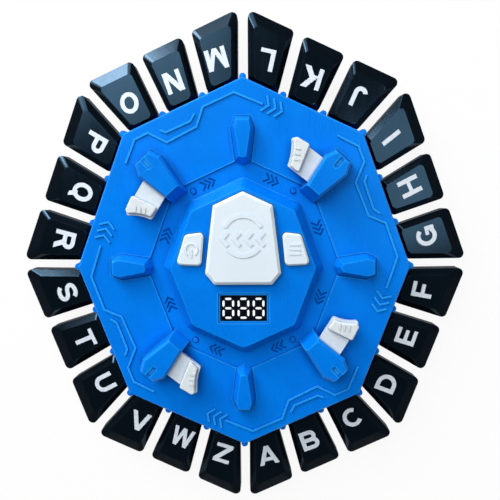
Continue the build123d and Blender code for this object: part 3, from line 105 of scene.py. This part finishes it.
# Caps that sit in recesses of the deck swell a hair, which closes the seam round their feet
SEAT_SWELL = {"paddle_towers": 0.12 * MM, "corner_fins": 0.3 * MM}

# Rubber domes on a sheet, and the part that presses each dome
DOME_PRESSERS = {
    "key_dome_strips": [f"key_{letter}" for letter in LETTER_PLACES],
    "button_dome_pad": ["pass_button", "power_button", "level_button"],
}
SHEET_THICKNESS = 0.8 * MM

# Bluish gloss of the blue shell, the keys and the display
SHELL_SHEEN = (0.1, 0.6, 1.0, 1.0)
KEY_SHEEN = (0.28, 0.62, 1.0, 1.0)
DISPLAY_SHEEN = (0.3, 0.5, 1.0, 1.0)

# Camera of the photo
CAMERA_PLACE = (8.48 * MM, 49.66 * MM, 380.0 * MM)
CAMERA_TURN = (radians(-6.541), radians(0.747), radians(-0.282))
CAMERA_LENS = 44.551
CAMERA_SENSOR = 36.0
CAMERA_CLIP = 10.0 * MM

# Studio: each white lamp's direction and height in degrees, width and length in metres, and watts
LAMP_DISTANCE = 1.5
LAMPS = {
    "window": (122, 40, 1.40, 1.40, 22.0),
    "low_strip": (127, 20, 0.45, 0.38, 10.0),
    "ceiling_left": (130, 66, 0.53, 0.53, 2.2),
    "ceiling_right": (17, 64, 0.53, 0.53, 3.6),
}
WORLD_LEVEL = 0.15
FLOOR_HALF = 12.0
FLOOR_COLOUR = (0.9, 0.9, 0.9, 1.0)
FLOOR_GLOW_SHARE = 0.92


# ---- Materials ----


class Look:
    """A procedural material round one Principled shader."""

    def __init__(self, name):
        self.material = bpy.data.materials.new(name)
        self.material.use_nodes = True
        self.tree = self.material.node_tree
        self.shader = self.tree.nodes["Principled BSDF"]
        self.place = self.add("ShaderNodeTexCoord").outputs["Object"]

    def add(self, kind, **inputs):
        """A node with its named inputs set to values or joined to other nodes."""
        node = self.tree.nodes.new(kind)
        for name, value in inputs.items():
            self.put(node.inputs[name.replace("_", " ")], value)
        return node

    def put(self, socket, value):
        """Sets one input, or joins it to another node's output."""
        if isinstance(value, bpy.types.NodeSocket):
            self.tree.links.new(value, socket)
        else:
            socket.default_value = value

    def set(self, **inputs):
        """Sets or joins inputs of the shader."""
        for name, value in inputs.items():
            self.put(self.shader.inputs[name.replace("_", " ")], value)

    def noise(self, scale, detail=3.0, roughness=0.55, stretch=None):
        """A noise pattern whose grain is about one over its scale, in metres."""
        place = self.place
        if stretch:
            mapping = self.add("ShaderNodeMapping", Vector=place, Scale=stretch)
            place = mapping.outputs["Vector"]
        return self.add("ShaderNodeTexNoise", Vector=place, Scale=scale, Detail=detail,
                        Roughness=roughness).outputs["Fac"]

    def between(self, value, low, high, to_low=0.0, to_high=1.0):
        """A value carried from one range to another and kept inside it."""
        return self.add("ShaderNodeMapRange", Value=value, From_Min=low, From_Max=high,
                        To_Min=to_low, To_Max=to_high).outputs["Result"]

    def math(self, operation, first, second):
        """Two values put together."""
        node = self.tree.nodes.new("ShaderNodeMath")
        node.operation = operation
        self.put(node.inputs[0], first)
        self.put(node.inputs[1], second)
        return node.outputs["Value"]

    def blend(self, share, first, second):
        """Two colours blended by a share."""
        node = self.tree.nodes.new("ShaderNodeMix")
        node.data_type = "RGBA"
        self.put(node.inputs["Factor"], share)
        self.put(node.inputs[6], first)
        self.put(node.inputs[7], second)
        return node.outputs[2]

    def height(self):
        """Height above the table."""
        return self.add("ShaderNodeSeparateXYZ", Vector=self.place).outputs["Z"]

    def facing_up(self, low, high):
        """0 on walls and 1 on level faces, between two values of the normal's height."""
        normal = self.add("ShaderNodeNewGeometry").outputs["Normal"]
        return self.between(self.add("ShaderNodeSeparateXYZ", Vector=normal).outputs["Z"], low, high)

    def open_share(self, distance, inside=False):
        """How open the surface is round a point; looking inside, it is low along sharp edges."""
        node = self.add("ShaderNodeAmbientOcclusion", Distance=distance)
        node.inside = inside
        return node.outputs["AO"]

    def bump(self, height, strength, distance):
        """A surface normal moved by a height pattern."""
        return self.add("ShaderNodeBump", Height=height, Strength=strength,
                        Distance=distance).outputs["Normal"]


def rgb(red, green, blue):
    """A display colour, given in steps of 255, as a linear one."""
    shares = [value / 255 for value in (red, green, blue)]
    return [share / 12.92 if share <= 0.04045 else ((share + 0.055) / 1.055) ** 2.4
            for share in shares] + [1.0]


def clouded(look, colour, dark):
    """A colour with soft clouds of a darker one."""
    clouds = look.noise(scale=38.0, detail=4.0, roughness=0.6)
    return look.blend(look.between(clouds, low=0.35, high=0.7), dark, colour)


def painted_edge_highlight(look, base, colour, reach, share):
    """A base colour that turns lighter along sharp edges: a painted highlight where the edges catch the light."""
    inner_share = look.open_share(reach, inside=True)
    edge = look.between(inner_share, low=0.55, high=0.97, to_low=1.0, to_high=0.0)
    return look.blend(look.math("MULTIPLY", edge, share), base, colour)


def moulded(look, base, crevice_shade, rough, grain, depth, reach=4.0 * MM, dull_walls=0.0):
    """Finishes moulded plastic: painted shade in crevices, scuffed gloss, a fine grain and slight sink marks."""
    openness = look.between(look.open_share(reach), low=0.25, high=0.85)
    scuff = look.noise(scale=60.0, detail=6.0, roughness=0.75, stretch=(1.0, 0.16, 1.0))
    gloss = look.between(scuff, 0.4, 0.72, *rough)
    sink = look.math("MULTIPLY", look.noise(scale=22.0, detail=1.0, roughness=0.5), 3.0)
    height = look.math("ADD", look.noise(scale=grain, detail=2.0, roughness=0.5), sink)
    if dull_walls:
        level = look.facing_up(low=0.1, high=0.4)
        gloss = look.math("ADD", gloss, look.between(level, 0.0, 1.0, to_low=dull_walls, to_high=0.0))
    # Painted shade: the crevice colour is blended in where the surface is closed in
    look.set(Base_Color=look.blend(openness, crevice_shade, base), Roughness=gloss,
             Normal=look.bump(height, strength=0.35, distance=depth))


def plastic(name, colour, dark, crevice_shade, rough, grain, depth, specular):
    """Moulded plastic of one colour."""
    look = Look(name)
    moulded(look, clouded(look, colour, dark), crevice_shade, rough, grain, depth)
    look.set(Specular_IOR_Level=specular)
    return look


def deck_marks(look, base, edge_highlight_share):
    """Painted highlight on the deck's raised lines and painted shade in its grooves, and the painted edge
    highlight kept off its sunk rim.
    """
    height = look.height()
    # The painted edge highlight is kept off the sunk ring round the hub
    edge_highlight_share = look.between(height, RIM_LOW, RIM_HIGH, to_low=0.0, to_high=edge_highlight_share)
    # Painted highlight on the tops of the raised lines
    base = look.blend(look.between(height, LINE_LOW, LINE_HIGH), base, rgb(4, 134, 241))
    # Painted shade on the floors of the engraved grooves
    above = look.between(height, GROOVE_LOW - GROOVE_FADE, GROOVE_LOW)
    below = look.between(height, GROOVE_LOW, GROOVE_HIGH, to_low=1.0, to_high=0.0)
    groove_shade = look.math("MULTIPLY", look.math("MULTIPLY", above, below), look.facing_up(low=0.8, high=0.95))
    return look.blend(groove_shade, base, rgb(0, 58, 150)), edge_highlight_share


def blue_plastic(name, marks=False):
    """Satin blue of the shell, with pale flecks, a painted highlight along its edges and painted shade in its
    crevices.
    """
    look = Look(name)
    base, edge_highlight_share = clouded(look, rgb(0, 124, 235), rgb(0, 114, 224)), 0.8
    if marks:
        base, edge_highlight_share = deck_marks(look, base, edge_highlight_share)
    flecks = look.noise(scale=1300.0, detail=2.0, roughness=0.7)
    base = look.blend(look.between(flecks, 0.4, 0.75, to_high=0.3), base, rgb(12, 142, 244))
    # Painted highlight along sharp edges
    base = painted_edge_highlight(look, base, rgb(44, 166, 252), reach=1.0 * MM, share=edge_highlight_share)
    # The painted shade reaches 8 mm from walls, so it also darkens the deck round the towers and fins like soft
    # shadow
    moulded(look, base, crevice_shade=rgb(0, 56, 156), rough=(0.26, 0.4), grain=2600.0, depth=0.05 * MM,
            reach=8.0 * MM)
    look.set(Specular_IOR_Level=0.5, Specular_Tint=SHELL_SHEEN)
    return look


def key_plastic():
    """Black of the keys: polished tops with a painted highlight along their edges, and duller walls."""
    look = Look("key_black")
    base = clouded(look, rgb(5, 10, 16), rgb(3, 6, 11))
    # Painted highlight along the keys' edges
    base = painted_edge_highlight(look, base, rgb(30, 50, 70), reach=0.8 * MM, share=0.6)
    moulded(look, base, crevice_shade=rgb(2, 4, 7), rough=(0.13, 0.21), grain=2200.0, depth=0.02 * MM,
            dull_walls=0.45)
    look.set(Specular_IOR_Level=0.42, Specular_Tint=KEY_SHEEN)
    return look


def white_plastic():
    """Cool satin white of the hub buttons."""
    look = Look("white_plastic")
    base = clouded(look, rgb(226, 238, 246), rgb(219, 233, 243))
    moulded(look, base, crevice_shade=rgb(140, 172, 208), rough=(0.34, 0.46), grain=2600.0, depth=0.03 * MM,
            reach=1.6 * MM)
    look.set(Specular_IOR_Level=0.4)
    return look


def paddle_plastic():
    """White of the paddles: a plate below a milky raised pad; the plate is bluer and darker, partly its own duller
    tone and partly painted shade and a painted reflection of the blue deck.
    """
    look = Look("paddle_white")
    mottle = look.between(look.noise(scale=240.0, detail=4.0, roughness=0.65), low=0.35, high=0.65)
    # Plate colours: its own duller tone, with painted shade and a painted reflection of the blue deck
    plate_with_painted_shade = look.blend(mottle, rgb(202, 218, 229), rgb(216, 227, 236))
    pad = look.blend(mottle, rgb(213, 223, 227), rgb(222, 230, 234))
    base = look.blend(look.between(look.height(), PAD_LOW, PAD_HIGH), plate_with_painted_shade, pad)
    moulded(look, base, crevice_shade=rgb(130, 152, 184), rough=(0.36, 0.48), grain=2400.0, depth=0.03 * MM,
            reach=2.0 * MM)
    look.set(Specular_IOR_Level=0.4)
    return look


def lens_blue():
    """Tinted lens: a clear blue middle inside painted shade on its sloping edge."""
    look = Look("lens_blue")
    middle = clouded(look, rgb(10, 122, 234), rgb(0, 108, 220))
    # Painted shade on the sloping edge, darker where the faces turn away from the top
    base = look.blend(look.facing_up(low=0.8, high=0.97), rgb(0, 54, 150), middle)
    moulded(look, base, crevice_shade=rgb(0, 40, 130), rough=(0.2, 0.28), grain=1800.0, depth=0.02 * MM,
            reach=1.0 * MM)
    look.set(Specular_IOR_Level=0.4, Specular_Tint=SHELL_SHEEN)
    return look


def plated_steel():
    """Plated steel with fine turning marks and dull spots."""
    look = Look("steel")
    marks = look.noise(scale=900.0, detail=3.0, roughness=0.6, stretch=(1.0, 0.05, 1.0))
    spots = look.between(look.noise(scale=120.0), low=0.35, high=0.7)
    look.set(Base_Color=look.blend(spots, rgb(164, 168, 174), rgb(200, 202, 206)), Metallic=1.0,
             Roughness=look.between(marks, 0.3, 0.7, to_low=0.22, to_high=0.4),
             Normal=look.bump(marks, strength=0.2, distance=0.02 * MM))
    return look


def board_green():
    """Green circuit board with copper runs under its mask."""
    look = Look("board_green")
    weave = look.noise(scale=700.0, detail=2.0, roughness=0.5, stretch=(1.0, 0.2, 1.0))
    runs = look.add("ShaderNodeTexBrick", Vector=look.place, Scale=140.0, Mortar_Size=0.06).outputs["Fac"]
    base = look.blend(look.between(weave, low=0.35, high=0.7), rgb(18, 90, 52), rgb(26, 116, 70))
    base = look.blend(look.math("MULTIPLY", runs, 0.35), base, rgb(62, 148, 88))
    look.set(Base_Color=base, Roughness=look.between(weave, 0.3, 0.7, to_low=0.3, to_high=0.45),
             Normal=look.bump(runs, strength=0.2, distance=0.03 * MM))
    return look


def display_black():
    """Smoked display block with a faint haze."""
    look = Look("display_black")
    haze = look.noise(scale=160.0, detail=4.0, roughness=0.6)
    base = look.blend(look.between(haze, low=0.4, high=0.7), rgb(3, 5, 10), rgb(7, 10, 18))
    look.set(Base_Color=base, Roughness=look.between(haze, 0.35, 0.7, to_low=0.28, to_high=0.4),
             Normal=look.bump(look.noise(scale=1500.0), strength=0.15, distance=0.02 * MM),
             Specular_IOR_Level=0.2, Specular_Tint=DISPLAY_SHEEN)
    return look


def white_ink(name, colour, thin, glow):
    """White print or a milky segment, uneven where it is thin."""
    look = Look(name)
    ink = look.between(look.noise(scale=700.0, detail=4.0, roughness=0.65), low=0.32, high=0.6)
    base = look.blend(ink, thin, colour)
    look.set(Base_Color=base, Roughness=look.between(ink, 0.0, 1.0, to_low=0.38, to_high=0.52),
             Emission_Color=base, Emission_Strength=glow,
             Normal=look.bump(look.noise(scale=2200.0), strength=0.2, distance=0.02 * MM))
    return look


# Plain plastics: colour, cloud colour, colour of the painted shade in crevices, roughness, grains to the metre,
# their depth and gloss
PLAIN_PLASTICS = {
    "blue_base": (rgb(0, 112, 226), rgb(0, 100, 212), rgb(0, 52, 150), (0.5, 0.62), 1800.0, 0.08 * MM, 0.3),
    "lamp_white": (rgb(235, 232, 215), rgb(220, 216, 200), rgb(150, 148, 138),
                   (0.2, 0.3), 1500.0, 0.02 * MM, 0.5),
    "silicone": (rgb(178, 182, 188), rgb(160, 165, 172), rgb(96, 100, 108),
                 (0.55, 0.7), 1500.0, 0.05 * MM, 0.3),
    "foot_rubber": (rgb(40, 41, 44), rgb(28, 29, 32), rgb(10, 10, 12), (0.7, 0.85), 1200.0, 0.10 * MM, 0.3),
    "switch_black": (rgb(34, 34, 36), rgb(24, 24, 26), rgb(8, 8, 9), (0.4, 0.55), 1500.0, 0.04 * MM, 0.5),
    "speaker_black": (rgb(52, 52, 56), rgb(38, 38, 42), rgb(12, 12, 14), (0.45, 0.6), 1200.0, 0.05 * MM, 0.5),
    "cell_wrap": (rgb(150, 154, 160), rgb(132, 136, 142), rgb(60, 62, 66),
                  (0.25, 0.35), 1500.0, 0.03 * MM, 0.5),
}

# The look of each material slot, and of the nodes and print that have one of their own
looks = {slot: plastic(slot, *finish) for slot, finish in PLAIN_PLASTICS.items()}
looks.update({
    "blue_shell": blue_plastic("blue_shell"),
    "key_black": key_plastic(),
    "white_plastic": white_plastic(),
    "display_black": display_black(),
    "segment_white": white_ink("segment_white", rgb(250, 252, 254), rgb(232, 236, 240), glow=0.15),
    "lens_blue": lens_blue(),
    "board_green": board_green(),
    "steel": plated_steel(),
})
deck_look = blue_plastic("blue_deck", marks=True)
paddle_look = paddle_plastic()
print_look = white_ink("letter_print", rgb(222, 232, 242), rgb(204, 216, 228), glow=0.0)


# ---- CAD nodes: materials and softened edges ----


def soften(node, width):
    """Rounds a CAD node's sharp edges with modifiers alone."""
    weld = node.modifiers.new("join", "WELD")
    weld.merge_threshold = WELD_REACH
    if node.name in SEAT_SWELL:
        swell = node.modifiers.new("seat", "DISPLACE")
        swell.strength = SEAT_SWELL[node.name]
        swell.mid_level = 0.0
    bevel = node.modifiers.new("round", "BEVEL")
    bevel.width = width
    bevel.segments = EDGE_STEPS
    bevel.limit_method = "ANGLE"
    bevel.angle_limit = SHARP_ANGLE
    shade = node.modifiers.new("shade", "WEIGHTED_NORMAL")
    shade.weight = 100


slot_of = {row["node"]: row["material_slot"] for row in frame["record"]["subparts"]}
for name, node in nodes.items():
    if name == "top_shell":
        look = deck_look
    elif name.startswith("paddle_") and name in joints:
        look = paddle_look
    else:
        look = looks[slot_of[name]]
    node.data.materials.clear()
    node.data.materials.append(look.material)
    if name in SOFT_EDGES:
        soften(node, SOFT_EDGES[name])
    elif name in joints:
        soften(node, MOVING_EDGE)


# ---- Rubber sheets and domes ----


def rubber_piece(name, node, faces):
    """A closed piece that copies some faces of a CAD node of rubber."""
    wanted = {face.index for face in faces}
    shape = bmesh.new()
    shape.from_mesh(node.data)
    spare = [face for face in shape.faces if face.index not in wanted]
    bmesh.ops.delete(shape, geom=spare, context="FACES")
    bmesh.ops.remove_doubles(shape, verts=shape.verts, dist=WELD_REACH)
    open_edges = [edge for edge in shape.edges if edge.is_boundary]
    bmesh.ops.holes_fill(shape, edges=open_edges, sides=0)
    bmesh.ops.recalc_face_normals(shape, faces=shape.faces)
    mesh = bpy.data.meshes.new(name)
    shape.to_mesh(mesh)
    shape.free()
    mesh.materials.append(looks["silicone"].material)
    piece = bpy.data.objects.new(name, mesh)
    bpy.context.scene.collection.objects.link(piece)
    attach(piece, "console")
    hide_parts(node.name)
    return piece


def grouped(faces, spots):
    """Sorts faces by the spot that each is nearest to, seen from above."""
    groups = {name: [] for name in spots}
    for face in faces:
        nearest = min(spots, key=lambda name: (spots[name] - face.center).xy.length)
        groups[nearest].append(face)
    return groups


def split_rubber(node, pressers):
    """Parts a rubber node into its sheet and its domes."""
    sheet_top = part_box(node.name)[0][2] + SHEET_THICKNESS
    high = [face for face in node.data.polygons if face.center.z > sheet_top + WELD_REACH]
    low = [face for face in node.data.polygons if face.center.z <= sheet_top + WELD_REACH]
    rubber_piece(f"{node.name}_sheet", node, low)
    over = {presser: sum((Vector(corner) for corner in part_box(presser)), Vector()) / 2
            for presser in pressers}
    middles = {presser: sum((face.center for face in faces), Vector()) / len(faces)
               for presser, faces in grouped(high, over).items()}
    for presser, faces in grouped(high, middles).items():
        dome = rubber_piece(f"{presser}_dome", node, faces)
        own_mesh(dome)


for name, pressers in DOME_PRESSERS.items():
    split_rubber(nodes[name], pressers)


# ---- Printed letters ----


def slant(left, low, top_left, high, breadth):
    """A stroke with level ends, as the points up its left and right edges."""
    edge = [(left, low), (top_left, high)]
    return edge, [(x + breadth, y) for x, y in edge]


def bar(left, low, right, high):
    """An upright or level stroke."""
    return slant(left, low, left, high, right - left)


def stem(left=0.0):
    """An upright as high as the letter."""
    return bar(left, 0.0, left + UPRIGHT, 1.0)


def arc(x, y, reach_x, reach_y, start, end):
    """Points along part of an ellipse, from one angle to another."""
    turns = [radians(start + (end - start) * k / ARC_STEPS) for k in range(ARC_STEPS + 1)]
    return [(x + reach_x * cos(turn), y + reach_y * sin(turn)) for turn in turns]


def ribbon(path):
    """An even stroke along a path."""
    points = [Vector(point) for point in path]
    left, right = [], []
    for before, point, after in zip(points[:1] + points, points, points[1:] + points[-1:]):
        ahead = (after - before).normalized()
        across = Vector((-ahead.y, ahead.x)) * HALF
        left.append(point + across)
        right.append(point - across)
    return left, right


def bowl(x, y, reach):
    """A round bowl that starts and ends on the stem."""
    return ribbon([(HALF, y + reach), *arc(x, y, reach, reach, 90, -90), (HALF, y - reach)])


def ring(x, reach_x):
    """A full oval, from two arcs that overlap at their ends."""
    return [ribbon(arc(x, 0.5, reach_x, 0.5 - HALF, start, start + HALF_OVAL_DEG)) for start in (80, 260)]


# Each letter's width and strokes
GLYPHS = {
    "a": (0.99, [slant(0.0, 0.0, 0.385, 1.0, 0.22), slant(0.77, 0.0, 0.385, 1.0, 0.22),
                 bar(0.2, 0.2, 0.79, 0.38)]),
    "b": (0.86, [stem(), bowl(0.504, 0.704, 0.194), bowl(0.554, 0.306, 0.204)]),
    "c": (0.90, [ribbon(arc(0.47, 0.5, 0.3675, 0.3975, 45, 315))]),
    "d": (0.86, [stem(), bowl(0.36, 0.5, 0.3975)]),
    "e": (0.76, [stem(), bar(0.0, 0.0, 0.76, LEVEL), bar(0.0, 0.41, 0.70, 0.59),
                 bar(0.0, 1.0 - LEVEL, 0.76, 1.0)]),
    "f": (0.72, [stem(), bar(0.0, 0.37, 0.64, 0.55), bar(0.0, 1.0 - LEVEL, 0.72, 1.0)]),
    "g": (0.92, [ribbon(arc(0.47, 0.5, 0.3675, 0.3975, 42, 318)), bar(0.5, 0.35, 0.92, 0.52),
                 bar(0.92 - UPRIGHT, 0.07, 0.92, 0.5)]),
    "h": (0.82, [stem(), stem(0.82 - UPRIGHT), bar(0.0, 0.41, 0.82, 0.59)]),
    "i": (UPRIGHT, [stem()]),
    "j": (0.66, [ribbon([(0.5575, 1.0), *arc(0.3375, 0.3225, 0.22, 0.22, 0, -165)])]),
    "k": (0.92, [stem(), slant(0.16, 0.36, 0.60, 1.0, 0.29), slant(0.63, 0.0, 0.25, 0.55, 0.29)]),
    "l": (0.70, [stem(), bar(0.0, 0.0, 0.70, LEVEL)]),
    "m": (0.96, [stem(), stem(0.96 - UPRIGHT), slant(0.375, 0.0, 0.0, 1.0, 0.21),
                 slant(0.375, 0.0, 0.75, 1.0, 0.21)]),
    "n": (0.82, [stem(), stem(0.82 - UPRIGHT), slant(0.56, 0.0, 0.0, 1.0, 0.26)]),
    "o": (0.86, ring(0.43, 0.3275)),
    "p": (0.82, [stem(), bowl(0.51, 0.69, 0.2075)]),
    "q": (0.92, [*ring(0.43, 0.3275), slant(0.62, -0.12, 0.45, 0.28, 0.22)]),
    "r": (0.92, [stem(), bowl(0.51, 0.69, 0.2075), slant(0.64, 0.0, 0.36, 0.5, 0.27)]),
    "s": (0.83, [ribbon([*arc(0.415, 0.699, 0.30, 0.199, 25, 270),
                         *arc(0.415, 0.301, 0.3125, 0.199, 90, -155)[1:]])]),
    "t": (0.82, [stem(0.41 - HALF), bar(0.0, 1.0 - LEVEL, 0.82, 1.0)]),
    "u": (0.82, [ribbon([(HALF, 1.0), *arc(0.41, 0.41, 0.3075, 0.3075, 180, 360), (0.82 - HALF, 1.0)])]),
    "v": (0.96, [slant(0.37, 0.0, 0.0, 1.0, 0.22), slant(0.37, 0.0, 0.74, 1.0, 0.22)]),
    "w": (1.04, [slant(0.18, 0.0, 0.0, 1.0, 0.18), slant(0.18, 0.0, 0.43, 1.0, 0.18),
                 slant(0.68, 0.0, 0.43, 1.0, 0.18), slant(0.68, 0.0, 0.86, 1.0, 0.18)]),
    "z": (0.82, [bar(0.0, 0.0, 0.82, LEVEL), bar(0.0, 1.0 - LEVEL, 0.82, 1.0),
                 slant(0.0, 0.18, 0.54, 0.82, 0.28)]),
}


def strip_faces(count):
    """Faces of a closed strip whose rows are bottom left, bottom right, top left and top right."""
    last = count - 1
    faces = [(0, count, 3 * count, 2 * count), (last, last + 2 * count, last + 3 * count, last + count)]
    for k in range(last):
        low_left, low_right, top_left, top_right = (k + row * count for row in range(4))
        faces += [
            (top_left, top_right, top_right + 1, top_left + 1),
            (low_left, low_left + 1, low_right + 1, low_right),
            (low_left, top_left, top_left + 1, low_left + 1),
            (low_right, low_right + 1, top_right + 1, top_right),
        ]
    return faces


def letter_mesh(letter):
    """One capital, centred; each stroke is a closed strip a hair higher than the one before."""
    width, strokes = GLYPHS[letter]
    corners, faces = [], []
    for k, (left, right) in enumerate(strokes):
        faces += [[len(corners) + corner for corner in face] for face in strip_faces(len(left))]
        for height in (-PRINT_SINK, PRINT_RISE + k * PRINT_STEP):
            corners += [((x - width / 2) * CAP_HEIGHT, (y - 0.5) * CAP_HEIGHT, height)
                        for x, y in [*left, *right]]
    mesh = bpy.data.meshes.new(f"letter_{letter}")
    mesh.from_pydata(corners, [], faces)
    mesh.materials.append(print_look.material)
    return mesh


for letter, (along_mm, down_mm, turn_deg) in LETTER_PLACES.items():
    joint = joints[f"key_{letter}"]
    along = Vector(joint["axis"])
    outward = Vector((along.y, -along.x, 0.0))
    down_slope = outward * cos(KEY_SLOPE) - UP * sin(KEY_SLOPE)
    normal = outward * sin(KEY_SLOPE) + UP * cos(KEY_SLOPE)
    place = Vector(joint["pos_m"]) + (along * along_mm + down_slope * down_mm) * MM + normal * KEY_TOP
    turn = radians(turn_deg)
    right = along * cos(turn) - down_slope * sin(turn)
    up = -down_slope * cos(turn) - along * sin(turn)
    mesh = letter_mesh(letter)
    mesh.transform(Matrix.Translation(place) @ Matrix((right, up, normal)).transposed().to_4x4())
    piece = bpy.data.objects.new(f"letter_{letter}", mesh)
    bpy.context.scene.collection.objects.link(piece)
    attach(piece, f"key_{letter}")


# ---- Studio: floor, lamps, world and camera ----


def floor_material():
    """White paper that glows softly to the camera and in gloss, and still takes the shadow."""
    look = Look("floor")
    rays = look.add("ShaderNodeLightPath").outputs
    seen = look.math("MAXIMUM", rays["Is Camera Ray"], rays["Is Glossy Ray"])
    seen = look.math("MAXIMUM", seen, rays["Is Transmission Ray"])
    paper = look.add("ShaderNodeBsdfDiffuse", Color=FLOOR_COLOUR)
    glow = look.add("ShaderNodeEmission", Strength=1.0)
    both = look.add("ShaderNodeMixShader", Fac=look.math("MULTIPLY", seen, FLOOR_GLOW_SHARE))
    look.put(both.inputs[1], paper.outputs["BSDF"])
    look.put(both.inputs[2], glow.outputs["Emission"])
    look.put(look.tree.nodes["Material Output"].inputs["Surface"], both.outputs["Shader"])
    look.tree.nodes.remove(look.shader)
    return look.material


floor_mesh = bpy.data.meshes.new("floor")
floor_mesh.from_pydata(
    [(x * FLOOR_HALF, y * FLOOR_HALF, 0.0) for x, y in ((-1, -1), (1, -1), (1, 1), (-1, 1))],
    [], [(0, 1, 2, 3)])
floor_mesh.materials.append(floor_material())
floor = bpy.data.objects.new("floor", floor_mesh)
bpy.context.scene.collection.objects.link(floor)

for name, (azimuth, elevation, width, length, watts) in LAMPS.items():
    lamp = bpy.data.lights.new(name, "AREA")
    lamp.shape = "RECTANGLE"
    lamp.size, lamp.size_y = width, length
    lamp.energy = watts
    heading = Vector((1.0, 0.0, 0.0))
    heading.rotate(Euler((0.0, -radians(elevation), radians(azimuth))))
    holder = bpy.data.objects.new(name, lamp)
    holder.location = heading * LAMP_DISTANCE
    holder.rotation_euler = (-heading).to_track_quat("-Z", "Y").to_euler()
    bpy.context.scene.collection.objects.link(holder)

world = bpy.data.worlds.new("studio")
bpy.context.scene.world = world
world.use_nodes = True
backdrop = world.node_tree.nodes["Background"]
backdrop.inputs["Color"].default_value = WHITE
backdrop.inputs["Strength"].default_value = WORLD_LEVEL

camera_data = bpy.data.cameras.new("camera")
camera_data.lens = CAMERA_LENS
camera_data.sensor_width = CAMERA_SENSOR
camera_data.clip_start = CAMERA_CLIP
camera = bpy.data.objects.new("camera", camera_data)
camera.location = CAMERA_PLACE
camera.rotation_euler = CAMERA_TURN
bpy.context.scene.collection.objects.link(camera)
bpy.context.scene.camera = camera
bpy.context.scene.view_settings.view_transform = "Standard"
